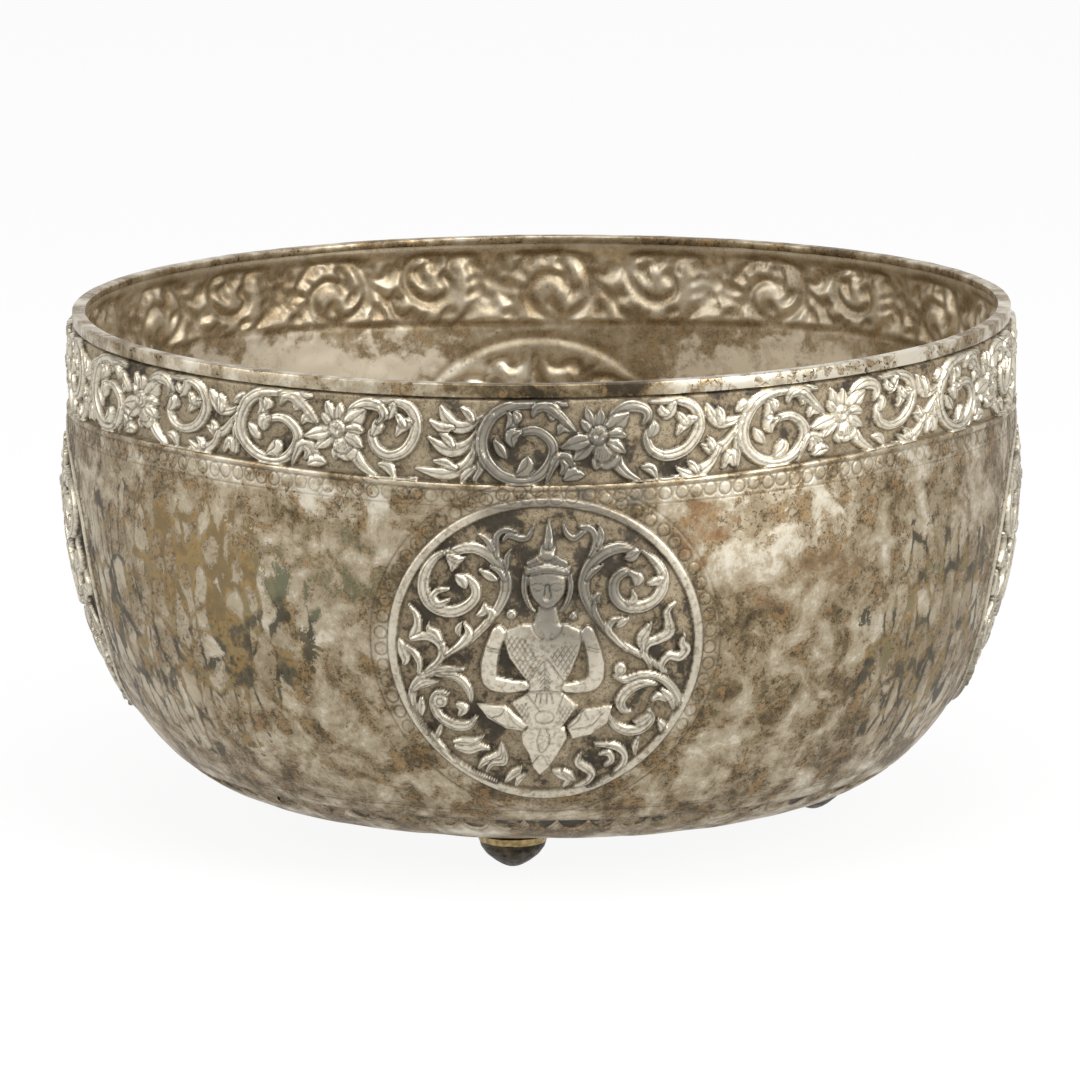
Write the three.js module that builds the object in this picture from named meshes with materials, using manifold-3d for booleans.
// A raised silver bowl with a chased frieze and four roundels, on four half-ball feet.
// Millimetres, +Z up. The origin is the middle of the bowl on the surface that it stands on,
// and -Y is the front, where one roundel faces the viewer.
// The body is one sheet, so its bands are beaten out of the wall and not laid on it. The pieces
// that a maker adds are the hoop over the edge, the feet and the seat ring above each foot.

import * as THREE from "three";
import { mergeVertices } from "three/addons/utils/BufferGeometryUtils.js";
import Module from "manifold-3d";

// Body. Its heights are measured up from the flat base.
const WALL_RADIUS = 125; // outside of the upright wall
const BASE_RADIUS = 76; // where the flat base turns up into the belly
const BELLY_HEIGHT = 84; // where the belly has become the upright wall
const BOWL_HEIGHT = 125.8; // up to the hoop's flat top
const SHEET = 1.2; // thickness of the raised sheet

// Hoop over the edge, an upturned channel.
const HOOP_RADIUS = 123.5;
const HOOP_METAL = 0.8;
const HOOP_OUTER_LEG = 3.4;
const HOOP_INNER_LEG = 2;
const HOOP_EDGE = 0.45; // bevel on the upper edges
const SHOULDER = 0.6; // height over which the wall draws in below the hoop

// Frieze below the hoop, whose ground is beaten back behind the plain wall.
const FRIEZE_HEIGHT = 20.9;
const FRIEZE_DEPTH = 1.5;
const FILLET_HEIGHT = 1.2; // raised line that closes the frieze below
const FILLET_LIFT = 0.45;

// Roundels on the belly, one to each quarter.
const ROUNDEL_COUNT = 4;
const ROUNDEL_RADIUS = 39.6;
const ROUNDEL_DROP = 3.1; // from the fillet down to the ring
const ROUNDEL_TURN = 0.5; // degrees, the front one from the front
const ROUNDEL_SWELL = 0.8; // how far the middle stands out of the belly
const RING_WIDTH = 2.2;
const RING_LIFT = 0.6;

// Raised work. The frieze repeats a flower and two scrolls, FRIEZE_MOTIFS times round the bowl.
const FRIEZE_MOTIFS = 12;
const FRONT_MOTIFS = 5; // those in front, which the maker set a little wider apart
const FRONT_PITCH = 30.6; // degrees from one of them to the next
const FLOWER_TURN = 6.5; // degrees, the flower nearest the front from the front
const FLOWER_HEIGHT = 11.7; // flower's middle above the fillet
const FLOWER_WIDTH = 16.8;
const PETAL_LIFT = 1; // how far the petals' edges stand out of the ground
const SCROLL_WIDTH = 3.6;
const LEAF_WIDTH = 3.4;
const FIGURE_LIFT = 1.1; // how far the figure and scrolls of a roundel stand out of it

// The strokes and outlines of the raised work are drawn in units, this many to what they fill.
const MOTIF_UNITS = 66.9; // along one repeat of the frieze
const FLOWER_UNITS = 16.8; // across a flower
const TOP_UNITS = 7.1; // from a flower's middle up to a scroll that runs along the hoop
const FILLET_UNITS = 11.7; // from a flower's middle down to the fillet
const ROUNDEL_UNITS = 39.6; // from a roundel's middle to its ring

// Feet: hollow half-balls, each under its seat ring.
const FOOT_COUNT = 4;
const FOOT_RADIUS = 8.7;
const FOOT_SHEET = 1;
const FOOT_CIRCLE = 72.5; // radius of the circle that their middles stand on
const FOOT_TURN = -5.8; // degrees, the front one from the front
const FOOT_HEIGHT = 8.8; // from the table up to the base
const WEAR_FLAT = 2.1; // radius of the worn spot that each foot stands on
const SEAT_HEIGHT = 1.1;
const SEAT_OVERHANG = 0.35; // how far the seat ring stands out round the foot
const SEAT_WIDTH = 1.3;

// Clearance that soldered pieces keep here, so that each stays a solid of its own.
const SOLDER_GAP = 0.3;

// How finely the round pieces are cut.
const BODY_SEGMENTS = 48;
const BELLY_STEPS = 5;
const INSIDE_STEPS = 4;
const FOOT_SEGMENTS = 12;
const FOOT_STEPS = 2;
const RING_STEPS = 22;
const LEAF_STEPS = 2;
const BURIED = 0.5; // how deep raised work starts inside the sheet
const BEVEL = 0.9; // how far the top of a raised patch draws in from its outline

const wasm = await Module();
wasm.setup();

const degrees = THREE.MathUtils.degToRad;
const hoopBottom = BOWL_HEIGHT - HOOP_OUTER_LEG;
const friezeBottom = hoopBottom - FRIEZE_HEIGHT;
const filletBottom = friezeBottom - FILLET_HEIGHT;
const groundRadius = WALL_RADIUS - FRIEZE_DEPTH;
const necking = HOOP_RADIUS - HOOP_METAL - SOLDER_GAP; // outside of the edge inside the hoop
const edgeHeight = BOWL_HEIGHT - HOOP_METAL - SOLDER_GAP;
const roundelHeight = filletBottom - ROUNDEL_DROP - ROUNDEL_RADIUS;
const scrollRoom = FRIEZE_HEIGHT - FLOWER_HEIGHT - SOLDER_GAP - SCROLL_WIDTH / 2;

const silver = new THREE.MeshStandardMaterial({ color: 0xb5aa96, roughness: 0.38, metalness: 1 });
const hoopSilver = new THREE.MeshStandardMaterial({ color: 0xc4bcac, roughness: 0.34, metalness: 1 });
const footSilver = new THREE.MeshStandardMaterial({ color: 0x6f6655, roughness: 0.45, metalness: 1 });
const solder = new THREE.MeshStandardMaterial({ color: 0x9a8557, roughness: 0.5, metalness: 1 });

const bowl = new THREE.Group();

function add(name, geometry, material, x = 0, y = 0, z = 0) {
  const piece = new THREE.Mesh(geometry, material);
  piece.name = name;
  piece.position.set(x, y, z);
  bowl.add(piece);
}

function toSolid(geometry) {
  const bare = geometry.clone();
  bare.deleteAttribute("normal");
  bare.deleteAttribute("uv");
  const merged = mergeVertices(bare, 1e-4);
  return new wasm.Manifold(
    new wasm.Mesh({
      numProp: 3,
      vertProperties: merged.attributes.position.array,
      triVerts: new Uint32Array(merged.index.array),
    }),
  );
}

function solidOf(positions, index) {
  const geometry = new THREE.BufferGeometry();
  geometry.setAttribute("position", new THREE.Float32BufferAttribute(positions, 3));
  return toSolid(geometry.setIndex(index));
}

function toGeometry(solid) {
  const mesh = solid.getMesh();
  return new THREE.BufferGeometry()
    .setAttribute("position", new THREE.BufferAttribute(mesh.vertProperties, 3))
    .setIndex(new THREE.BufferAttribute(mesh.triVerts, 1));
}

// A profile of radius and height, turned round the Z axis.
function turned(profile, segments) {
  return new THREE.LatheGeometry(profile, segments).rotateX(Math.PI / 2);
}

// The same as a piece of its own, with its seam and poles closed.
function turnedPiece(profile, segments) {
  return toGeometry(toSolid(turned(profile, segments)));
}

// Radius of the belly's outside, a quarter ellipse that ends upright.
function bellyRadius(height) {
  const down = Math.max(0, BELLY_HEIGHT - height) / BELLY_HEIGHT;
  return BASE_RADIUS + (WALL_RADIUS - BASE_RADIUS) * Math.sqrt(Math.max(0, 1 - down * down));
}

// How far a point of the wall is pushed out by the roundel of its quarter. The point is given on
// the wall laid flat: along it as an arc on the wall's radius, and up it from the base.
function roundelSwell(along, height) {
  const quarter = (2 * Math.PI * WALL_RADIUS) / ROUNDEL_COUNT;
  const fromMiddle = along - degrees(ROUNDEL_TURN) * WALL_RADIUS;
  const across = fromMiddle - quarter * Math.round(fromMiddle / quarter);
  const distance = Math.hypot(across, height - roundelHeight) / (ROUNDEL_RADIUS + RING_WIDTH);
  return distance < 1 ? ROUNDEL_SWELL * (1 - distance * distance) : 0;
}

// A point of the wall laid flat, lifted off it, in space. Along 0 is the front.
function onWall(along, height, lift) {
  const angle = along / WALL_RADIUS;
  const plain = height > friezeBottom ? groundRadius : bellyRadius(height) + roundelSwell(along, height);
  const radius = plain + lift;
  return new THREE.Vector3(radius * Math.sin(angle), -radius * Math.cos(angle), height);
}

// Body: outside from the middle of the base up to the edge, then the inside back down.
function shellProfile() {
  const filletRadius = WALL_RADIUS + FILLET_LIFT;
  const outside = new THREE.Path();
  outside.moveTo(0, 0);
  outside.lineTo(BASE_RADIUS, 0);
  outside.absellipse(
    BASE_RADIUS, BELLY_HEIGHT, WALL_RADIUS - BASE_RADIUS, BELLY_HEIGHT, -Math.PI / 2, 0, false,
  );
  outside.lineTo(WALL_RADIUS, filletBottom - FILLET_LIFT);
  outside.lineTo(filletRadius, filletBottom);
  outside.lineTo(filletRadius, friezeBottom);
  outside.lineTo(groundRadius, friezeBottom + FILLET_LIFT);
  outside.lineTo(groundRadius, hoopBottom - SOLDER_GAP - SHOULDER);
  outside.lineTo(necking, hoopBottom - SOLDER_GAP);
  outside.lineTo(necking, edgeHeight);
  const inside = new THREE.Path();
  inside.moveTo(necking - SHEET, edgeHeight);
  inside.lineTo(necking - SHEET, hoopBottom - SOLDER_GAP);
  inside.lineTo(groundRadius - SHEET, hoopBottom - SOLDER_GAP - SHOULDER - SHEET);
  inside.lineTo(groundRadius - SHEET, friezeBottom + FILLET_LIFT);
  inside.lineTo(WALL_RADIUS - SHEET, filletBottom - FILLET_LIFT - FRIEZE_DEPTH);
  inside.absellipse(
    BASE_RADIUS, BELLY_HEIGHT, WALL_RADIUS - BASE_RADIUS - SHEET, BELLY_HEIGHT - SHEET, 0,
    -Math.PI / 2, true,
  );
  inside.lineTo(0, SHEET);
  return [...outside.getPoints(BELLY_STEPS), ...inside.getPoints(INSIDE_STEPS)];
}

// The turned body with its wall pushed out behind each roundel, inside and outside alike.
function shellBody() {
  const geometry = turned(shellProfile(), BODY_SEGMENTS);
  const position = geometry.attributes.position;
  for (let i = 0; i < position.count; i++) {
    const x = position.getX(i);
    const y = position.getY(i);
    const radius = Math.hypot(x, y);
    if (radius <= BASE_RADIUS) continue;
    const along = Math.atan2(x, -y) * WALL_RADIUS;
    const scale = 1 + roundelSwell(along, position.getZ(i)) / radius;
    position.setX(i, x * scale);
    position.setY(i, y * scale);
  }
  return toSolid(geometry);
}

// A solid from rows of three points, left foot, crest and right foot, that follow a raised line.
function ridgeSolid(rows, closed) {
  const index = [];
  const last = closed ? rows.length : rows.length - 1;
  for (let i = 0; i < last; i++) {
    const a = i * 3;
    const b = ((i + 1) % rows.length) * 3;
    for (let j = 0; j < 3; j++) {
      const k = (j + 1) % 3;
      index.push(a + j, a + k, b + j, a + k, b + k, b + j);
    }
  }
  if (!closed) index.push(0, 2, 1, last * 3, last * 3 + 1, last * 3 + 2);
  const positions = rows.flatMap((row) => row.flatMap((point) => point.toArray()));
  return solidOf(positions, index);
}

// A raised line along flat points from a middle of the wall, sharp along its crest. Its width
// comes from share, which runs along it from 0 to 1.
function raisedLine(middle, points, width, lift, share, closed = false) {
  const rows = points.map((point, i) => {
    const count = points.length;
    const before = closed ? points[(i + count - 1) % count] : points[Math.max(0, i - 1)];
    const after = closed ? points[(i + 1) % count] : points[Math.min(count - 1, i + 1)];
    const along = new THREE.Vector2().subVectors(after, before).normalize();
    const half = (width / 2) * share(i / (count - 1));
    const at = (side, up) =>
      onWall(middle.x + point.x - along.y * side, middle.y + point.y + along.x * side, up);
    return [at(half, -BURIED), at(0, lift), at(-half, -BURIED)];
  });
  return ridgeSolid(rows, closed);
}

const even = () => 1;
const leafShare = (t) => 0.3 + 0.7 * Math.sin(Math.PI * Math.pow(t, 0.7));
const scrollShare = (t) => 0.35 + 0.65 * Math.sin(Math.PI * Math.min(1, 0.15 + t));

// Places drawn from a flower's middle, at their size on the wall laid flat.
function onFrieze(places, unit) {
  const up = scrollRoom / TOP_UNITS;
  const down = FLOWER_HEIGHT / FILLET_UNITS;
  return places.map(([x, y]) => new THREE.Vector2(x * unit, y * (y > 0 ? up : down)));
}

// Places drawn from a roundel's middle, at their size.
function onRoundel(places) {
  const unit = ROUNDEL_RADIUS / ROUNDEL_UNITS;
  return places.map(([x, y]) => new THREE.Vector2(x * unit, y * unit));
}

// A ring of even width round a middle.
function ring(middle, radius) {
  const points = Array.from({ length: RING_STEPS }, (_, i) => {
    const turn = (2 * Math.PI * i) / RING_STEPS;
    return new THREE.Vector2(radius * Math.cos(turn), radius * Math.sin(turn));
  });
  return raisedLine(middle, points, RING_WIDTH, RING_LIFT, even, true);
}

// The corners of an anticlockwise outline, moved inwards by the bevel.
function inset(points) {
  return points.map((point, i) => {
    const before = points[(i + points.length - 1) % points.length];
    const after = points[(i + 1) % points.length];
    const one = new THREE.Vector2().subVectors(point, before).normalize();
    const two = new THREE.Vector2().subVectors(after, point).normalize();
    const inward = new THREE.Vector2(-one.y - two.y, one.x + two.x).normalize();
    const reach = BEVEL / Math.max(0.5, one.x * inward.y - one.y * inward.x);
    return point.clone().addScaledVector(inward, reach);
  });
}

// A raised patch of the wall inside a flat outline, bevelled all round. The outline runs
// anticlockwise, as seen from outside.
function patch(middle, foot, lift) {
  const top = inset(foot);
  const count = foot.length;
  const positions = [
    ...foot.flatMap((point) => onWall(middle.x + point.x, middle.y + point.y, -BURIED).toArray()),
    ...top.flatMap((point) => onWall(middle.x + point.x, middle.y + point.y, lift).toArray()),
  ];
  const index = [];
  for (const [a, b, c] of THREE.ShapeUtils.triangulateShape(foot, [])) {
    index.push(a, c, b, count + a, count + b, count + c);
  }
  for (let i = 0; i < count; i++) {
    const next = (i + 1) % count;
    index.push(i, next, count + i, next, count + next, count + i);
  }
  return solidOf(positions, index);
}

// A flower inside an anticlockwise outline, whose petals rise to its middle.
function flower(middle, outline) {
  const count = outline.length;
  const positions = [
    ...onWall(middle.x, middle.y, -BURIED).toArray(),
    ...onWall(middle.x, middle.y, FRIEZE_DEPTH).toArray(),
  ];
  const index = [];
  for (let i = 0; i < count; i++) {
    const x = middle.x + outline[i].x;
    const y = middle.y + outline[i].y;
    positions.push(...onWall(x, y, PETAL_LIFT).toArray());
    positions.push(...onWall(x, y, -BURIED).toArray());
    const top = 2 + 2 * i;
    const next = 2 + 2 * ((i + 1) % count);
    index.push(1, top, next, 0, next + 1, top + 1);
    index.push(top, top + 1, next, top + 1, next + 1, next);
  }
  return solidOf(positions, index);
}

// The turn of each flower in degrees.
function flowerTurns() {
  const first = FLOWER_TURN - (FRONT_PITCH * (FRONT_MOTIFS - 1)) / 2;
  const left = 360 - FRONT_PITCH * (FRONT_MOTIFS - 1);
  const pitch = left / (FRIEZE_MOTIFS - FRONT_MOTIFS + 1);
  return Array.from({ length: FRIEZE_MOTIFS }, (_, i) => {
    const past = Math.max(0, i - FRONT_MOTIFS + 1);
    return first + (i - past) * FRONT_PITCH + past * pitch;
  });
}

// One repeat of the frieze, drawn from its flower's middle and stretched to its length.
function friezeMotif(middle, length) {
  const unit = length / MOTIF_UNITS;
  const scroll = (...places) =>
    raisedLine(middle, onFrieze(places, unit), SCROLL_WIDTH, FRIEZE_DEPTH, scrollShare);
  const leaf = (...places) => {
    const points = new THREE.SplineCurve(onFrieze(places, unit)).getPoints(LEAF_STEPS);
    return raisedLine(middle, points, LEAF_WIDTH, FRIEZE_DEPTH, leafShare);
  };
  const petals = [
    [7, -0.4], [4.2, 1.2], [7.5, 5], [2.2, 3.6], [0.2, 6.6], [-2.9, 6.7], [-3.2, 1.6], [-9.3, -2.8],
    [-3.8, -2.8], [-5.8, -5.6], [-1.6, -4.8], [-0.5, -8], [2.6, -6.4], [6.7, -4.3],
  ];
  return [
    flower(middle, onFrieze(petals, FLOWER_WIDTH / FLOWER_UNITS)),
    scroll(
      [13.4, 7.3], [20.5, 7], [24.6, 5], [25.8, 0.6], [22.8, -4], [17.6, -5.8], [13.4, -3.6], [12.8, 1],
    ),
    scroll(
      [59, 7.3], [51, 7], [42.5, 5.9], [38.2, -0.5], [40, -7.4], [46.4, -10.4], [52.6, -9], [55.6, -4],
      [53, 0.7], [46.8, 0.7],
    ),
    leaf([3.4, 3.4], [8.2, 6.7], [12.2, 3]),
    leaf([37.6, 2.8], [32.2, 1.4], [28.2, 5.8]),
    leaf([36.8, 0.8], [32, -4.8], [26.6, -4.2]),
  ];
}

// The seated figure with joined hands and its four scrolls, drawn from the roundel's middle.
function roundelFigure(middle) {
  const raised = (outline) => patch(middle, onRoundel(outline), FIGURE_LIFT);
  const mirrored = (outline) => outline.map(([x, y]) => [-x, y]).reverse();
  const scroll = (...places) =>
    raisedLine(middle, onRoundel(places), SCROLL_WIDTH, FIGURE_LIFT, scrollShare);
  const arm = [[6, 9], [9.2, -5], [4.5, -6.5], [4.5, -10], [12, -8.6], [14, -4], [10, 9]];
  const leg = [[3, -13], [3.5, -20], [8, -21.5], [18.5, -14.5], [15.5, -12.5]];
  return [
    raised([[0, 12], [4, 15], [5, 20], [3.5, 24.5], [-3.5, 24.5], [-5, 20], [-4, 15]]),
    raised([[-3.4, 25], [3.4, 25], [1.2, 30], [0, 36], [-1.2, 30]]),
    raised([[-8, 8], [-3.6, -12], [3.6, -12], [8, 8], [2.5, 11], [-2.5, 11]]),
    raised([[-5.5, -22], [0, -32], [5.5, -22], [3.5, -17], [-3.5, -17]]),
    raised(arm),
    raised(mirrored(arm)),
    raised(leg),
    raised(mirrored(leg)),
    scroll([11.8, 11], [9.5, 19.2], [15, 26.3], [24, 26.2], [29.2, 18], [23, 11.9], [17, 16.5]),
    scroll([-11.4, 13], [-10.4, 21.6], [-17.6, 27.4], [-27.6, 24.6], [-30, 14.6], [-23, 11.1], [-17.6, 16.5]),
    scroll([18, -5.8], [28, -6.2], [34.9, -12.6], [34.6, -21.6], [26.6, -30.8], [16, -35.6]),
    scroll([-21, -4], [-30.4, -5.6], [-35.2, -12.4], [-33, -20.6], [-26, -28.8], [-14, -35.6]),
  ];
}

function bowlShell() {
  let shell = shellBody();
  const quarter = (2 * Math.PI * WALL_RADIUS) / ROUNDEL_COUNT;
  for (let i = 0; i < ROUNDEL_COUNT; i++) {
    const middle = new THREE.Vector2(degrees(ROUNDEL_TURN) * WALL_RADIUS + i * quarter, roundelHeight);
    for (const solid of [ring(middle, ROUNDEL_RADIUS), ...roundelFigure(middle)]) shell = shell.add(solid);
  }
  const turns = flowerTurns();
  turns.forEach((turn, i) => {
    const pitch = (turns[(i + 1) % FRIEZE_MOTIFS] - turn + 360) % 360;
    const middle = new THREE.Vector2(degrees(turn) * WALL_RADIUS, friezeBottom + FLOWER_HEIGHT);
    const length = degrees(pitch) * WALL_RADIUS;
    for (const solid of friezeMotif(middle, length)) shell = shell.add(solid);
  });
  return toGeometry(shell);
}

// Hoop: a channel that hangs over the edge, its outer leg the longer.
function hoopProfile() {
  const outer = HOOP_RADIUS;
  const inner = necking - SHEET - SOLDER_GAP - HOOP_METAL;
  const grooveTop = BOWL_HEIGHT - HOOP_METAL;
  const outline = [
    [outer, hoopBottom],
    [outer, BOWL_HEIGHT - HOOP_EDGE],
    [outer - HOOP_EDGE, BOWL_HEIGHT],
    [inner + HOOP_EDGE, BOWL_HEIGHT],
    [inner, BOWL_HEIGHT - HOOP_EDGE],
    [inner, BOWL_HEIGHT - HOOP_INNER_LEG],
    [inner + HOOP_METAL, BOWL_HEIGHT - HOOP_INNER_LEG],
    [inner + HOOP_METAL, grooveTop],
    [outer - HOOP_METAL, grooveTop],
    [outer - HOOP_METAL, hoopBottom],
    [outer, hoopBottom],
  ];
  return outline.map(([radius, height]) => new THREE.Vector2(radius, height));
}

// Foot: a half-ball of sheet, open above and worn flat where it stands.
function footProfile() {
  const top = FOOT_HEIGHT - 2 * SOLDER_GAP - SEAT_HEIGHT;
  const worn = Math.asin(WEAR_FLAT / FOOT_RADIUS);
  const middle = FOOT_RADIUS * Math.cos(worn);
  const inside = FOOT_RADIUS - FOOT_SHEET;
  const rise = (radius) => Math.asin(Math.max(-1, Math.min(1, (top - middle) / radius)));
  const path = new THREE.Path();
  path.moveTo(0, 0);
  path.lineTo(WEAR_FLAT, 0);
  path.absarc(0, middle, FOOT_RADIUS, worn - Math.PI / 2, rise(FOOT_RADIUS), false);
  path.absarc(0, middle, inside, rise(inside), -Math.PI / 2, true);
  return path.getPoints(FOOT_STEPS);
}

// Seat ring: a flat ring of solder between the base and a foot, with its lower edge bevelled.
function seatProfile() {
  const outer = FOOT_RADIUS + SEAT_OVERHANG;
  const outline = [
    [outer - SEAT_WIDTH, 0],
    [outer - SEAT_OVERHANG, 0],
    [outer, SEAT_HEIGHT],
    [outer - SEAT_WIDTH, SEAT_HEIGHT],
    [outer - SEAT_WIDTH, 0],
  ];
  return outline.map(([radius, height]) => new THREE.Vector2(radius, height));
}

add("bowl_shell", bowlShell(), silver, 0, 0, FOOT_HEIGHT);
add("rim_hoop", turnedPiece(hoopProfile(), BODY_SEGMENTS), hoopSilver, 0, 0, FOOT_HEIGHT);

const sides = ["front", "right", "back", "left"];
for (let i = 0; i < FOOT_COUNT; i++) {
  const angle = degrees(FOOT_TURN) + (2 * Math.PI * i) / FOOT_COUNT;
  const x = FOOT_CIRCLE * Math.sin(angle);
  const y = -FOOT_CIRCLE * Math.cos(angle);
  const seatBottom = FOOT_HEIGHT - SOLDER_GAP - SEAT_HEIGHT;
  add("foot_" + sides[i], turnedPiece(footProfile(), FOOT_SEGMENTS), footSilver, x, y, 0);
  add("foot_seat_" + sides[i], turnedPiece(seatProfile(), FOOT_SEGMENTS), solder, x, y, seatBottom);
}

export default bowl;
